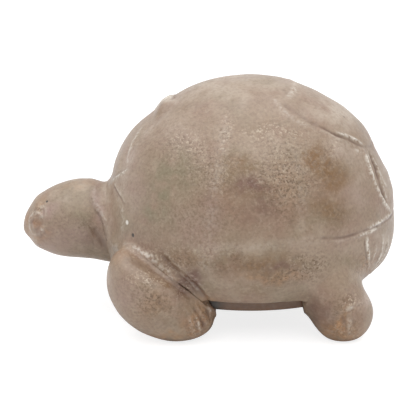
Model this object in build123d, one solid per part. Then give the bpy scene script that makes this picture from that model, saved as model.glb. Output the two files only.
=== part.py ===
from build123d import *
from math import asin, atan2, cos, degrees, radians, sin, sqrt
import os

# A hand-built stoneware turtle ornament, fired with a satin taupe glaze.
# It is made of separately formed clay pieces that are luted together before firing: a hollow
# domed carapace, a belly plate let into its open underside, a head on a short neck that is
# plugged into the carapace, a coil pressed round that joint, two eye pellets, two broad front
# flippers, two round hind feet and a short tail.
# Frame: millimetres, +Z up, head towards -X, the turtle's left side towards -Y. The origin is on
# the table, under the middle of the whole length.

# Carapace: a hollow egg, cut off level at its rim
shell_length = 93.4
shell_width = 78.0
shell_rise = 48.8
shell_tuck = 29.8
shell_wall = 5.0
girth_height = 28.7
rim_height = 14.6
rim_round = 1.2

# Head and neck, which set the overall length: the snout runs forward from the crown of the head
# and the nape back from it, down to the neck
head_reach = 26.6
head_width = 22.5
head_depth = 25.9
head_height = 30.5
snout_length = 20.1
nape_length = 10.0
neck_depth = 22.8
neck_plug_radius = 6.0
neck_plug_past_wall = 3.0

# Coil of clay pressed round the neck, its top leaning forward from the carapace's skin
collar_coil_radius = 3.6
collar_proud = 0.8
collar_lean = 12.0
collar_forward = 1.1

# Eye pellets, one on each cheek
eye_length = 6.0
eye_height = 8.0
eye_thickness = 3.6
eye_proud = 1.0
eye_station_share = 0.75
eye_raise = 3.0

# Belly plate, with a step that locates it in the carapace and a vent for the firing
belly_inset = 3.5
belly_drop = 4.5
belly_round = 1.5
belly_step_height = 2.5
belly_step_clearance = 0.3
vent_radius = 3.0

# Front flippers: a broad thigh swept back, and a foot at its lower end
flipper_length = 36.0
flipper_depth = 27.0
flipper_thickness = 24.0
flipper_sweep = 30.0
flipper_x_share = 0.60
flipper_y_share = 0.69
flipper_foot_length = 15.0
flipper_foot_width = 15.0
flipper_foot_depth = 13.0
flipper_foot_x_share = 0.405
flipper_foot_y_share = 0.70

# Hind feet: a round foot under a short thigh
hind_foot_length = 19.0
hind_foot_width = 18.0
hind_foot_depth = 20.0
hind_foot_x_share = 0.62
hind_foot_y_share = 0.68
hind_thigh_length = 17.0
hind_thigh_width = 20.0
hind_thigh_depth = 20.0
hind_thigh_x_share = 0.58

# Tail, tucked down between the hind feet
tail_length = 15.0
tail_width = 7.0
tail_droop = 50.0
tail_inset = 5.0
tail_drop = 5.4

# How far the rounded feet are pressed flat on the table
sole_press = 1.0

# Places that follow from the sizes
overall_length = shell_length + head_reach
shell_x = head_reach / 2
shell_front = shell_x - shell_length / 2
head_x = -overall_length / 2 + snout_length


def ellipsoid(length, width, depth):
    """A rounded lump of these full sizes, centred on the origin."""
    return scale(Sphere(1), by=(length / 2, width / 2, depth / 2))


def egg(length, width, rise, tuck):
    """An egg about the girth of the shell, rising above it and tucking under it."""
    crown = split(ellipsoid(length, width, 2 * rise), Plane.XY, keep=Keep.TOP)
    under = split(ellipsoid(length, width, 2 * tuck), Plane.XY, keep=Keep.BOTTOM)
    return Pos(shell_x, 0, girth_height) * (crown + under)


def above(lump, height):
    """What of a lump lies above a level plane."""
    return split(lump, Plane.XY.offset(height), keep=Keep.TOP)


def below(lump, height):
    """What of a lump lies below a level plane."""
    return split(lump, Plane.XY.offset(height), keep=Keep.BOTTOM)


def rim_share(wall):
    """The egg's breadth at the rim as a share of its girth, at this depth into the wall."""
    return sqrt(1 - ((girth_height - rim_height) / (shell_tuck - wall)) ** 2)


def front_skin(height):
    """How far forward the egg's skin lies at this height, on the middle plane."""
    reach = shell_rise if height > girth_height else shell_tuck
    return shell_x - shell_length / 2 * sqrt(1 - ((height - girth_height) / reach) ** 2)


def lowest_edges(lump):
    """The edges round the underside of a lump."""
    return lump.edges().group_by(Axis.Z)[0]


def mirrored(lump):
    """The same piece on the turtle's other side."""
    return mirror(lump, about=Plane.XZ)


def beside_shell(x_share, y_share, height):
    """A place on the turtle's left, given as shares of the shell's half length and half width."""
    return Pos(shell_x + x_share * shell_length / 2, -y_share * shell_width / 2, height)


# Carapace: an egg with a rounded rim, hollowed to an even wall, with a port for the neck plug
shell_outside = above(egg(shell_length, shell_width, shell_rise, shell_tuck), rim_height)
shell_outside = fillet(lowest_edges(shell_outside), rim_round)
shell_inside = egg(
    shell_length - 2 * shell_wall,
    shell_width - 2 * shell_wall,
    shell_rise - shell_wall,
    shell_tuck - shell_wall,
)
neck_plug_length = shell_front + shell_wall + neck_plug_past_wall - head_x
neck_plug = (
    Pos(head_x, 0, head_height) * Rot(0, 90, 0) * extrude(Circle(neck_plug_radius), neck_plug_length)
)
carapace = shell_outside - shell_inside - neck_plug

# Belly plate: a slab that closes the rim, a step up into the opening, and the vent through both
opening_length = (shell_length - 2 * shell_wall) * rim_share(shell_wall)
opening_width = (shell_width - 2 * shell_wall) * rim_share(shell_wall)
belly_length = shell_length * rim_share(0) - 2 * belly_inset
belly_width = shell_width * rim_share(0) - 2 * belly_inset
belly_slab = Pos(shell_x, 0, rim_height - belly_drop) * extrude(
    Ellipse(belly_length / 2, belly_width / 2), belly_drop
)
belly_lip = fillet(lowest_edges(belly_slab), belly_round)
belly_step = Pos(shell_x, 0, rim_height) * extrude(
    Ellipse(opening_length / 2 - belly_step_clearance, opening_width / 2 - belly_step_clearance),
    belly_step_height,
)
vent = Pos(shell_x, 0, 0) * extrude(Circle(vent_radius), girth_height)
belly_plate = belly_lip + belly_step - vent

# Head and neck: a round head that runs back into a straight neck, and the neck's plug
neck_angle = degrees(asin(neck_depth / head_depth))
snout = EllipticalCenterArc((0, 0), snout_length, head_depth / 2, start_angle=90, arc_size=90)
nape = EllipticalCenterArc(
    (0, 0), nape_length, head_depth / 2, start_angle=neck_angle, arc_size=90 - neck_angle
)
neck_top = Line(nape @ 0, (shell_x - head_x, neck_depth / 2))
neck_back = Line(neck_top @ 1, (shell_x - head_x, 0))
head_profile = make_face([snout, nape, neck_top, neck_back, Line(neck_back @ 1, snout @ 1)])
head_round = revolve(head_profile, Axis.X, 360)
head = Pos(head_x, 0, head_height) * scale(head_round, by=(1, head_width / head_depth, 1))
head_and_neck = (head - shell_outside) + neck_plug

# Collar: the coil that fills the corner between neck and carapace, set against the skin there
skin_over_neck = front_skin(head_height + neck_depth / 2)
skin_under_neck = front_skin(head_height - neck_depth / 2)
skin_lean = degrees(atan2(skin_under_neck - skin_over_neck, neck_depth))
neck_collar = (
    Pos((skin_over_neck + skin_under_neck) / 2 - collar_forward, 0, head_height)
    * Rot(0, 90 - skin_lean - collar_lean, 0)
    * Torus(neck_depth / 2 + collar_proud - collar_coil_radius, collar_coil_radius)
)
neck_collar = neck_collar - head_and_neck - shell_outside

# Eyes: pellets that lie square to the cheek
eye_ring_share = sqrt(1 - eye_station_share**2)
eye_spot = Vector(
    -eye_station_share * snout_length,
    -eye_ring_share * head_width / 2 * cos(radians(eye_raise)),
    eye_ring_share * head_depth / 2 * sin(radians(eye_raise)),
)
cheek_normal = Vector(
    eye_spot.X / snout_length**2,
    eye_spot.Y / (head_width / 2) ** 2,
    eye_spot.Z / (head_depth / 2) ** 2,
)
cheek = Plane(
    origin=Vector(head_x, 0, head_height) + eye_spot,
    x_dir=Vector(-cheek_normal.Y, cheek_normal.X, 0),
    z_dir=cheek_normal,
)
eye_pellet = Pos(0, 0, eye_proud - eye_thickness / 2) * ellipsoid(eye_length, eye_height, eye_thickness)
left_eye = cheek * eye_pellet - head

# Front flippers: the thigh and foot of one lump, fitted against the carapace and belly plate
flipper_half_height = sqrt(
    (flipper_length / 2 * sin(radians(flipper_sweep))) ** 2
    + (flipper_depth / 2 * cos(radians(flipper_sweep))) ** 2
)
flipper_thigh = (
    beside_shell(-flipper_x_share, flipper_y_share, flipper_half_height - sole_press)
    * Rot(0, flipper_sweep, 0)
    * ellipsoid(flipper_length, flipper_thickness, flipper_depth)
)
flipper_foot = beside_shell(
    -flipper_foot_x_share, flipper_foot_y_share, flipper_foot_depth / 2 - sole_press
) * ellipsoid(flipper_foot_length, flipper_foot_width, flipper_foot_depth)
front_left = above(flipper_thigh + flipper_foot, 0) - shell_outside - belly_plate

# Hind feet: a ball of a foot, with a thigh that reaches up to the carapace
hind_foot = beside_shell(
    hind_foot_x_share, hind_foot_y_share, hind_foot_depth / 2 - sole_press
) * ellipsoid(hind_foot_length, hind_foot_width, hind_foot_depth)
hind_thigh = beside_shell(hind_thigh_x_share, hind_foot_y_share, rim_height) * ellipsoid(
    hind_thigh_length, hind_thigh_width, hind_thigh_depth
)
rear_left = above(hind_foot + hind_thigh, 0) - shell_outside - belly_plate

# Tail: a short drooping cone of clay under the back of the rim, notched over the belly plate
tail = (
    Pos(shell_x + belly_length / 2 - tail_inset, 0, rim_height - tail_drop)
    * Rot(0, tail_droop, 0)
    * ellipsoid(tail_length, tail_width, tail_width)
)
tail = below(tail, rim_height) - belly_slab

pieces = {
    "carapace": carapace,
    "belly_plate": belly_plate,
    "head_and_neck": head_and_neck,
    "neck_collar": neck_collar,
    "left_eye": left_eye,
    "right_eye": mirrored(left_eye),
    "front_left_flipper": front_left,
    "front_right_flipper": mirrored(front_left),
    "rear_left_foot": rear_left,
    "rear_right_foot": mirrored(rear_left),
    "tail": tail,
}

os.makedirs("parts", exist_ok=True)
for name, piece in pieces.items():
    export_step(piece, f"parts/{name}.step")
    print(name, len(piece.solids()), round(piece.volume), piece.bounding_box().size)
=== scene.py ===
from math import radians, tau
import bmesh
import bpy
from mathutils import Matrix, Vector
import numpy as np


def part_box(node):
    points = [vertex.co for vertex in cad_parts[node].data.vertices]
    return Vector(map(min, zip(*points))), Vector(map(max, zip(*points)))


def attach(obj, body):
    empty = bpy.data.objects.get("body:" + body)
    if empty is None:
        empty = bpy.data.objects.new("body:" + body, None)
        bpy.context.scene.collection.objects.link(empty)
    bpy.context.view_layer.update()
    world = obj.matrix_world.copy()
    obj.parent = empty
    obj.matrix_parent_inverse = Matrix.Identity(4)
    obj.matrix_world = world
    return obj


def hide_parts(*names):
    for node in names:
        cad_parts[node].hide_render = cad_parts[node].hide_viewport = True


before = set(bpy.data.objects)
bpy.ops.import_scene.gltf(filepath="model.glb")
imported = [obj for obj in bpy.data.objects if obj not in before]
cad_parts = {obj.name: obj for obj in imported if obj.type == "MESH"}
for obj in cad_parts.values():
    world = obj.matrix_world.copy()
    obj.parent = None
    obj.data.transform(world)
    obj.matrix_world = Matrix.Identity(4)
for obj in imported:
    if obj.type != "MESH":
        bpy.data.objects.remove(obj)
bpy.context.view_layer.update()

# Studio: a figurine of 120 mm photographed from its left side, a little from above, on a white
# table under a broad soft box. Shapes below are in millimetres and the scene is in metres.
metre = 1000.0
picture_width = 416
picture_middle = picture_width / 2
lens = 120.0
sensor = 36.0
camera_distance = 450.0
camera_elevation = radians(18)
camera_aim = np.array([0, 0, 33.9])
focal_pixels = lens / sensor * picture_width
look = np.array([0, np.cos(camera_elevation), -np.sin(camera_elevation)])
sideways = np.array([1.0, 0, 0])
upwards = np.array([0, np.sin(camera_elevation), np.cos(camera_elevation)])
camera_place = camera_aim - camera_distance * look

camera_data = bpy.data.cameras.new("camera")
camera_data.lens = lens
camera_data.sensor_width = sensor
camera = bpy.data.objects.new("camera", camera_data)
camera.location = camera_place / metre
camera.rotation_euler = (radians(90) - camera_elevation, 0, 0)
bpy.context.scene.collection.objects.link(camera)
bpy.context.scene.camera = camera
bpy.context.scene.view_settings.view_transform = "Standard"

# The soft box hangs a little on the camera's side of the figurine and leans in over it.
soft_box_data = bpy.data.lights.new("overhead_box", "AREA")
soft_box_data.energy = 7.5
soft_box_data.size = 1.2
soft_box = bpy.data.objects.new("overhead_box", soft_box_data)
soft_box.location = (0, -0.16, 0.75)
soft_box.rotation_euler = (radians(12), 0, 0)
bpy.context.scene.collection.objects.link(soft_box)

# The room's white walls light the figurine all round: least from the front, where the camera
# stands, more from behind, and most from the two sides. Seen directly or in a reflection, the
# room is plain white.
white = (1, 1, 1, 1)
room_in_front = 0.16
room_behind = 0.65
room_at_sides = 0.3
world = bpy.data.worlds.new("white_room")
world.use_nodes = True
world_nodes = world.node_tree.nodes
world_links = world.node_tree.links
room_light = world_nodes["Background"]
room_light.inputs["Color"].default_value = white
way = world_nodes.new("ShaderNodeTexCoord")
way_parts = world_nodes.new("ShaderNodeSeparateXYZ")
from_behind = world_nodes.new("ShaderNodeMapRange")
from_behind.inputs["From Min"].default_value = -1.0
from_behind.inputs["From Max"].default_value = 0.3
from_behind.inputs["To Min"].default_value = room_in_front
from_behind.inputs["To Max"].default_value = room_behind
from_sides = world_nodes.new("ShaderNodeMath")
from_sides.operation = "ABSOLUTE"
room = world_nodes.new("ShaderNodeMath")
room.operation = "MULTIPLY_ADD"
room.inputs[1].default_value = room_at_sides
world_links.new(way.outputs["Generated"], way_parts.inputs[0])
world_links.new(way_parts.outputs["Y"], from_behind.inputs["Value"])
world_links.new(way_parts.outputs["X"], from_sides.inputs[0])
world_links.new(from_sides.outputs[0], room.inputs[0])
world_links.new(from_behind.outputs[0], room.inputs[2])
world_links.new(room.outputs[0], room_light.inputs["Strength"])
ray = world_nodes.new("ShaderNodeLightPath")
seen = ray.outputs["Is Camera Ray"]
for kind in ("Is Glossy Ray", "Is Transmission Ray"):
    seen_too = world_nodes.new("ShaderNodeMath")
    seen_too.operation = "MAXIMUM"
    world_links.new(seen, seen_too.inputs[0])
    world_links.new(ray.outputs[kind], seen_too.inputs[1])
    seen = seen_too.outputs[0]
seen_white = world_nodes.new("ShaderNodeBackground")
seen_white.inputs["Color"].default_value = white
either = world_nodes.new("ShaderNodeMixShader")
world_links.new(seen, either.inputs[0])
world_links.new(room_light.outputs[0], either.inputs[1])
world_links.new(seen_white.outputs[0], either.inputs[2])
world_links.new(either.outputs[0], world_nodes["World Output"].inputs[0])
bpy.context.scene.world = world

# Table: a round top, painted matt white. The camera sees it glow almost to pure white, so that
# only the figurine's soft shadow shows on it.
table_radius = 4.0
table_mesh = bmesh.new()
bmesh.ops.create_circle(table_mesh, cap_ends=True, radius=table_radius, segments=64)
table_data = bpy.data.meshes.new("table")
table_mesh.to_mesh(table_data)
table_mesh.free()
table = bpy.data.objects.new("table", table_data)
bpy.context.scene.collection.objects.link(table)
table_white = bpy.data.materials.new("table_white")
table_white.use_nodes = True
table_nodes = table_white.node_tree.nodes
table_links = table_white.node_tree.links
table_nodes.remove(table_nodes["Principled BSDF"])
table_paint = table_nodes.new("ShaderNodeBsdfDiffuse")
table_paint.inputs["Color"].default_value = (0.9, 0.9, 0.9, 1)
shaded = table_nodes.new("ShaderNodeBsdfDiffuse")
shaded.inputs["Color"].default_value = (0.4, 0.4, 0.4, 1)
glow = table_nodes.new("ShaderNodeEmission")
glow.inputs["Strength"].default_value = 0.8
table_seen = table_nodes.new("ShaderNodeAddShader")
table_either = table_nodes.new("ShaderNodeMixShader")
table_ray = table_nodes.new("ShaderNodeLightPath")
table_links.new(shaded.outputs[0], table_seen.inputs[0])
table_links.new(glow.outputs[0], table_seen.inputs[1])
table_links.new(table_ray.outputs["Is Camera Ray"], table_either.inputs[0])
table_links.new(table_paint.outputs[0], table_either.inputs[1])
table_links.new(table_seen.outputs[0], table_either.inputs[2])
table_links.new(table_either.outputs[0], table_nodes["Material Output"].inputs[0])
table_data.materials.append(table_white)

# Carapace: a hollow egg pinched from one ball of stoneware clay, 5 mm thick, with a rounded rim.
# Its scutes are drawn into the damp clay with a blunt wooden tool, which throws up a burr beside
# each line. The scutes over the neck and at the back stand a little proud.
shell_low, shell_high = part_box("carapace")
shell_half_length = 46.7
shell_half_width = shell_high.y * metre
girth_height = 28.7
shell_middle = np.array([shell_high.x * metre - shell_half_length, 0, girth_height])
shell_rise = shell_high.z * metre - girth_height
shell_tuck = 29.8
rim_height = shell_low.z * metre
wall = 5.0

# What is made is kept here: the pieces of clay and their forms, by node, and the drawn lines. A
# form is a function that tells roughly how far points lie outside it, and is negative inside.
clay = {}
forms = {}
lines = []
tiny = 1e-9


def from_round(offset, half):
    """Roughly how far points lie outside a round lump of these half sizes about the origin."""
    near = np.linalg.norm(offset / half, axis=-1)
    steep = np.linalg.norm(offset / np.square(half), axis=-1) + tiny
    return near * (near - 1) / steep


def egg(points):
    """A plain egg of the shell's size."""
    offset = points - shell_middle
    reach = np.where(offset[..., 2] > 0, shell_rise, shell_tuck)
    long = np.full_like(reach, shell_half_length)
    wide = np.full_like(reach, shell_half_width)
    return from_round(offset, np.stack([long, wide, reach], -1))


def rising(value, start, softness):
    """A soft step, from 0 well below start to 1 well above it."""
    steps_below = np.clip((start - value) / softness, -40, 40)
    return 1 / (1 + np.exp(steps_below))


def lump(points, middle, half):
    """A soft swelling, 1 at its middle."""
    return np.exp(-np.square((points - np.array(middle)) / np.array(half)).sum(-1))


# Where the shell is fuller than an egg, over the neck and the back scute, and where it is leaner,
# at the back of the rim: how much, the middle of the place, and its half sizes.
swells = (
    (0.8, (-25, 0, 57), (9, 22, 12)),
    (0.35, (46, 0, 64), (9, 24, 12)),
    (-1.1, (52, 0, 14.6), (9, 22, 3.0)),
)


def front_scute(points):
    """How far the narrow scute over the neck swells out of the skin."""
    along = (-34.0, -30.0, -27.0, -22.0, -17.2, -16.0, -14.6, -12.6, -11.2, -10.2, -9.0)
    proud = (0.6, 0.7, 0.4, 0.2, 0.05, 0.75, 1.3, 1.25, 0.85, 0.2, 0.0)
    narrows_along = (-31, -24, -17, -10)
    half_widths = (10.5, 8.5, 6.5, 4.5)
    foot_height = 46
    half_width = np.interp(points[..., 0], narrows_along, half_widths)
    across = rising(half_width - np.abs(points[..., 1]), 0, softness=0.6)
    upper = rising(points[..., 2], foot_height, softness=2.0)
    return np.interp(points[..., 0], along, proud) * across * upper


def rear_scutes(points):
    """How far the two scutes at the back swell out of the skin, one above the other."""
    heights = (18.0, 24.0, 34.0, 39.0, 41.6, 46.6, 49.0, 51.5, 54.5, 56.6, 59.0, 61.6, 65.0, 69.0, 73.0)
    proud = (0.3, 0.4, 0.2, 0.7, 1.1, 1.0, 0.65, 0.45, 0.4, 0.7, 0.9, 0.9, 0.65, 0.3, 0.0)
    widens_up = (36, 54, 72)
    half_widths = (12.5, 16, 17)
    front_end = 34
    half_width = np.interp(points[..., 2], widens_up, half_widths)
    across = rising(half_width - np.abs(points[..., 1]), 0, softness=1.0)
    behind = rising(points[..., 0], front_end, softness=2.0)
    return np.interp(points[..., 2], heights, proud) * across * behind


def carapace_form(points):
    """The carapace with its swells and its proud scutes."""
    fuller = sum(more * lump(points, middle, half) for more, middle, half in swells)
    return egg(points) - fuller - front_scute(points) - rear_scutes(points)


forms["carapace"] = carapace_form


def on_clay(pixels, form, nearest=380.0, furthest=520.0, step=0.4):
    """Where the lines of sight through these pixels first meet a form, or pass it most closely."""
    pixels = np.array(pixels, float)
    across = (pixels[:, :1] - picture_middle) / focal_pixels
    down = (pixels[:, 1:] - picture_middle) / focal_pixels
    sight = look + sideways * across - upwards * down
    places = camera_place + sight[:, None, :] * np.arange(nearest, furthest, step)[None, :, None]
    depth = form(places)
    inside = depth < 0
    first = np.where(inside.any(axis=1), inside.argmax(axis=1), depth.argmin(axis=1))
    return places[np.arange(len(pixels)), first]


def slope(form, points, step=0.05):
    """The way that leads straight out of a form."""
    ways = []
    for axis in np.eye(3) * step:
        ways.append((form(points + axis) - form(points - axis)) / (2 * step))
    return np.stack(ways, -1)


def settle(points, form, rounds=6, least_steep=0.05):
    """The points moved straight in or out until they lie on the form."""
    for _ in range(rounds):
        way_out = slope(form, points)
        steep = np.maximum((way_out * way_out).sum(-1), least_steep)
        points = points - way_out * (form(points) / steep)[:, None]
    return points


# How deep a line is pressed for the glaze to pool fully dark in it, and how high a burr stands for
# the glaze to break fully pale on it.
pooling_depth = 0.4
breaking_height = 0.35


def draw(pixels, form, depth=0.0, width=0.5, burr=0.0, burr_at=0.0, burr_width=0.5, dark=None, pale=None,
         closes=False):
    """A line drawn in the clay where it shows in the picture, and one like it on the far side.

    The line is pressed in by its depth and throws up a burr, which lies burr_at millimetres to
    the left of the tool's way, so above a line drawn to the right. Dark and pale are how much the
    glaze pools and breaks on them, if not as their sizes make it; on a few lines they stand for
    painted shade and painted highlights. A line that closes runs on from its last pixel to the
    middle of the figurine.
    """
    pixels = np.array(pixels, float)
    for _ in range(2):
        before, after = pixels[:-1], pixels[1:]
        corners = np.stack([0.75 * before + 0.25 * after, 0.25 * before + 0.75 * after], 1)
        pixels = np.concatenate([pixels[:1], corners.reshape(-1, 2), pixels[-1:]])
    path = settle(on_clay(pixels, form), form, 3)
    if closes:
        path = np.concatenate([path, path[-1:] * np.array([1, 0, 1])])
    dark = min(depth / pooling_depth, 1.0) if dark is None else dark
    pale = min(burr / breaking_height, 1.0) if pale is None else pale
    for side in (1, -1):
        own = path * np.array([1, side, 1])
        if side < 0:
            # No hand draws a line twice alike, so the far one strays, but not where both meet.
            off_middle = np.clip(np.abs(path[:, 1]) / 10, 0, 1)
            own[:, 0] += 0.8 * off_middle * np.sin(path[:, 2] / 7 + 1)
            own[:, 2] += 0.7 * off_middle * np.sin(path[:, 0] / 9)
        own = settle(own, form, 3)
        lines.append((own, side, depth, width, burr, burr_at, burr_width, dark, pale))


# Each line is a list of the pixels along it, in the order in which the tool went. First the scute
# over the neck, and the shell's margin below it.
neck_scute_foot = [(113, 178), (115.6, 176.8), (123.3, 171.5), (130, 167.3)]
draw(neck_scute_foot, carapace_form, depth=0.2, burr=0.4, burr_at=-0.5)
neck_scute_side = [(129, 166), (127.5, 158), (131, 147), (137, 134), (145, 123)]
draw(neck_scute_side, carapace_form, burr=0.08, burr_width=0.7, pale=0.45)
neck_scute_slope = [(131, 166), (134, 152), (142, 139), (151, 130), (161, 119), (170, 109), (177, 101)]
draw(neck_scute_slope, carapace_form, burr=0.08, burr_width=1.4, pale=0.1)
neck_scute_groove = [(154, 126), (161, 118), (168, 109), (173, 101), (176, 96)]
draw(neck_scute_groove, carapace_form, depth=0.16, width=1.1, dark=0.2)
neck_scute_top = [(176, 96.5), (172, 92)]
draw(neck_scute_top, carapace_form, depth=0.3, burr=0.1, burr_at=0.7, closes=True)
front_margin_groove = [(113.3, 184.5), (118, 194.4), (123.3, 202), (125, 207.5)]
draw(front_margin_groove, carapace_form, depth=0.28, width=0.4, burr=0.15, burr_at=0.9)

# The scutes on the crown.
crown_front_edge = [(185, 104), (212, 106.5), (241, 107), (264, 101), (275, 99)]
draw(crown_front_edge, carapace_form, depth=0.06, width=1.1, dark=0.16)
crown_back_burr = [(285, 99.5), (290.5, 95), (294, 90), (296, 83)]
draw(crown_back_burr, carapace_form, burr=0.15, burr_width=1.1, pale=0.4, closes=True)
crown_back_groove = [(283, 97), (288, 93), (290, 88)]
draw(crown_back_groove, carapace_form, depth=0.15, width=0.8, dark=0.15)
crown_scratch = [(277, 89.5), (284, 91), (290.6, 92)]
draw(crown_scratch, carapace_form, depth=0.12, width=0.4, dark=0.5)

# The upper scute at the back.
back_scute_burr = [(271, 97), (276.3, 102), (281, 109), (288, 116), (296, 121), (306, 125.7), (313, 128)]
draw(back_scute_burr, carapace_form, burr=0.12, burr_width=0.9, pale=0.25)
back_scute_groove = [(281, 104), (289, 109), (296, 113), (303, 118), (311, 123.5), (320, 127.5)]
draw(back_scute_groove, carapace_form, depth=0.25, width=0.7, dark=0.5)
back_scute_foot = [(318, 126.5), (328, 131), (336.7, 136), (346, 139.3), (355, 143.5), (363, 147)]
draw(
    back_scute_foot, carapace_form, depth=0.35, width=0.45, burr=0.12, burr_at=-1.0, burr_width=0.6,
    dark=0.9, pale=0.2,
)
back_scute_foot_burr = [(336, 132.5), (349, 136.9), (356, 140.4), (364, 145.5)]
draw(back_scute_foot_burr, carapace_form, burr=0.35)
back_scute_corner = [(362, 146.5), (367, 147.5), (372.5, 145.5)]
draw(back_scute_corner, carapace_form, depth=0.3, width=0.6, dark=0.4, closes=True)

# The last scute of the side, whose back edge has the thickest burr.
side_scute_top = [(352, 149), (358, 151), (365, 152.5)]
draw(side_scute_top, carapace_form, burr=0.12, burr_width=0.7, pale=0.4)
side_scute_burr = [
    (363.5, 151), (366, 161.5), (369.8, 171.4), (373.2, 180), (376, 187.5), (379, 194.3), (382, 201),
    (389.5, 211.5),
]
draw(side_scute_burr, carapace_form, burr=0.8, burr_width=0.75)
side_scute_inner_burr = [(366, 153), (374, 163), (381, 175), (387, 189)]
draw(side_scute_inner_burr, carapace_form, burr=0.15, burr_width=0.6, pale=0.5)
side_scute_groove = [(369, 152), (372, 160), (376.3, 170), (378.8, 182), (381, 190), (383, 197), (386, 204)]
draw(side_scute_groove, carapace_form, depth=0.45, width=0.6, burr=0.3, burr_at=1.1, pale=0.6)

# The margin round the foot of the shell.
front_margin_scratch = [(114, 186), (115.5, 193), (119, 200)]
draw(front_margin_scratch, carapace_form, depth=0.1)
front_margin_dip = [(125, 208), (130, 212), (150, 223), (175, 236), (195, 246)]
draw(front_margin_dip, carapace_form, depth=0.05, width=1.2, dark=0.06)
margin_swell = [(193, 246), (212, 248.5), (250, 248), (290, 243), (327, 237)]
draw(margin_swell, carapace_form, burr=0.06, burr_width=1.7, pale=0.12)
rear_margin_groove = [
    (318, 238), (332, 238.5), (345, 237.5), (357, 233.5), (369, 229), (380, 224), (391, 216),
]
draw(
    rear_margin_groove, carapace_form, depth=0.28, width=0.45, burr=0.1, burr_at=-0.9, dark=0.75, pale=0.15,
    closes=True,
)
rear_margin_lower_burr = [(356, 236.5), (367, 232.3), (378, 227.5)]
draw(rear_margin_lower_burr, carapace_form, burr=0.3, burr_width=0.6, pale=0.8)
rear_margin_upper_burr = [(366, 229), (376, 224.5), (384, 219.5), (391, 212)]
draw(rear_margin_upper_burr, carapace_form, burr=0.45, burr_width=0.7)

# A painted highlight on the face of the scute over the neck, and faint pale seams down the side.
neck_scute_highlight = [(157, 106), (162, 101.5), (168, 97), (174, 93)]
draw(neck_scute_highlight, carapace_form, burr=0.12, burr_width=1.3, pale=1.0)
middle_seam = [(226, 114), (225, 130), (221, 155), (214, 205)]
draw(middle_seam, carapace_form, burr=0.06, burr_width=2.0, pale=0.15)
middle_margin_seam = [(214, 200), (209, 228), (207, 247), (204, 275)]
draw(middle_margin_seam, carapace_form, burr=0.05, burr_width=1.8, pale=0.12)
back_seam = [(299, 150), (302, 185), (302, 235)]
draw(back_seam, carapace_form, burr=0.05, burr_width=1.8, pale=0.1)

# A fan of short strokes above the rim at the back.
first_fan_stroke = [(364.6, 236), (364.6, 248), (366.5, 257), (367.3, 268)]
draw(first_fan_stroke, carapace_form, depth=0.2, width=0.4, burr=0.35, burr_at=0.9, burr_width=0.6)
second_fan_stroke = [(381, 238), (381, 247), (378.5, 257), (374, 266)]
third_fan_stroke = [(387, 240), (386, 249), (381, 260), (371, 273)]
for stroke in (second_fan_stroke, third_fan_stroke):
    draw(stroke, carapace_form, depth=0.15, width=0.4, burr=0.35, burr_at=0.8, burr_width=0.65, dark=0.4)
short_fan_stroke = [(376, 243), (375.5, 251), (372, 262)]
draw(short_fan_stroke, carapace_form, burr=0.2, pale=0.5)

# The shell's margin is rolled out over each flipper, and the line under the roll is the deepest.
flipper_roll = [(113, 244), (124, 248.5), (136, 252.5), (149, 258.5), (160, 267), (170, 276.5), (179, 285)]
draw(flipper_roll, carapace_form, burr=0.85, burr_width=1.9, pale=0.15)
# A painted highlight along the top of the roll.
roll_glint = [(124, 245.5), (135, 248.5), (146, 253), (156, 260), (165, 269), (173, 276)]
draw(roll_glint, carapace_form, burr=0.12, burr_width=1.1, pale=0.55)
roll_crevice = [(160, 253), (167.5, 261.5), (177, 271), (187.5, 279), (198, 288), (205, 297), (211, 306)]
draw(
    roll_crevice, carapace_form, depth=0.5, width=1.0, burr=0.15, burr_at=1.6, burr_width=0.6, dark=0.75,
    pale=0.2,
)
roll_crevice_end = [(174, 271), (182, 278), (191, 287), (199, 296)]
draw(roll_crevice_end, carapace_form, depth=0.25, width=0.8, burr=0.1, burr_at=1.2, dark=0.65, pale=0.45)


def ball(middle, half, faces_across, lean=0.0):
    """A round lump of clay, as a cube whose grid is swelled out evenly to an ellipsoid."""
    mesh = bmesh.new()
    bmesh.ops.create_cube(mesh, size=2.0)
    bmesh.ops.subdivide_edges(mesh, edges=mesh.edges[:], cuts=faces_across - 1, use_grid_fill=True)
    grid = np.array([vertex.co for vertex in mesh.verts])
    even = np.tan(grid * np.pi / 4)
    even = even / np.linalg.norm(even, axis=1)[:, None] * np.array(half)
    x = even[:, 0] * np.cos(lean) + even[:, 2] * np.sin(lean) + middle[0]
    z = -even[:, 0] * np.sin(lean) + even[:, 2] * np.cos(lean) + middle[2]
    for vertex, place in zip(mesh.verts, np.stack([x, even[:, 1] + middle[1], z], 1)):
        vertex.co = place
    return mesh


def fired(name, node, mesh):
    """A piece made of a finished mesh in millimetres, in place of its node in the frame."""
    bmesh.ops.recalc_face_normals(mesh, faces=mesh.faces)
    bmesh.ops.scale(mesh, vec=(1 / metre,) * 3, verts=mesh.verts)
    for face in mesh.faces:
        face.smooth = True
    data = bpy.data.meshes.new(name)
    mesh.to_mesh(data)
    mesh.free()
    obj = bpy.data.objects.new(name, data)
    bpy.context.scene.collection.objects.link(obj)
    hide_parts(node)
    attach(obj, "root")
    clay[node] = obj


def in_parts(rows, most=4000):
    """Row numbers in parts of no more than this many, to spare memory."""
    return np.array_split(rows, len(rows) // most + 1)


# The ball is drawn in below its girth to the egg's shorter tuck.
shell = ball(shell_middle, (shell_half_length, shell_half_width, shell_rise), 116)
for vertex in shell.verts:
    sunk = vertex.co.z - girth_height
    if sunk < 0:
        vertex.co.z = girth_height + sunk * shell_tuck / shell_rise

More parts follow.
